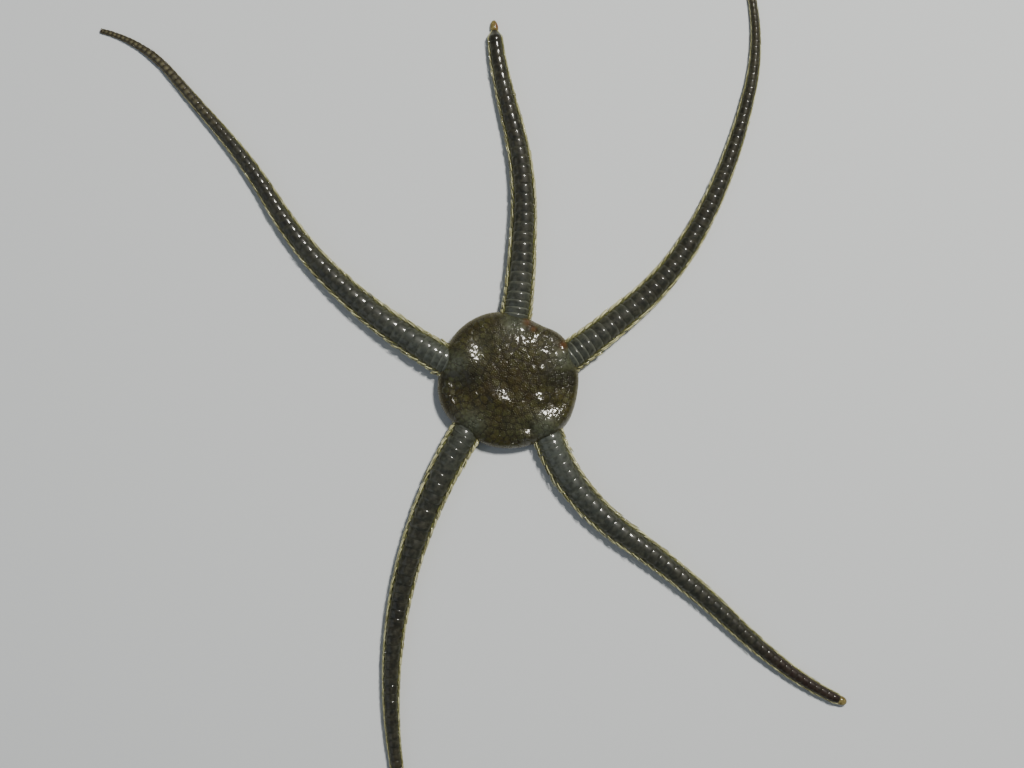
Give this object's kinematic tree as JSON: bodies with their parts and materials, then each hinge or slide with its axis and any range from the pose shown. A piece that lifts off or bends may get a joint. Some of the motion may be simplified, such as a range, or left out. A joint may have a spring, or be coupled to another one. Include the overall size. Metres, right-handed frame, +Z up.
{
  "type": "brittle star",
  "caption": "Life-size still brittle star lying flat: a round scaled disc, slender tapering plated arms with short spines, and jaws round the mouth underneath.",
  "frame": {"origin": "on the floor under the middle of the footprint box", "axes": "+Z up from the floor, +Y along the footprint's long side, towards the short arm; seen from above +X is to the right"},
  "size_m": [0.1076, 0.1405, 0.0047],
  "materials": {
    "disc": "wet olive-brown scaled skin",
    "arms": "wet dark grey-green arm plates with pale spines along the edges",
    "mouth": "pale cream jaw plates"
  },
  "bodies": {
    "root": {"disc": "disc", "jaw_1": "mouth", "jaw_2": "mouth", "jaw_3": "mouth", "jaw_4": "mouth", "jaw_5": "mouth", "arm_left_1": "arms", "arm_left_2": "arms", "arm_left_3": "arms", "arm_left_4": "arms", "arm_top_1": "arms", "arm_top_2": "arms", "arm_top_3": "arms", "arm_right_1": "arms", "arm_right_2": "arms", "arm_right_3": "arms", "arm_right_4": "arms", "arm_low_right_1": "arms", "arm_low_right_2": "arms", "arm_low_right_3": "arms", "arm_low_right_4": "arms", "arm_low_left_1": "arms", "arm_low_left_2": "arms", "arm_low_left_3": "arms", "arm_low_left_4": "arms"}
  },
  "joints": []
}
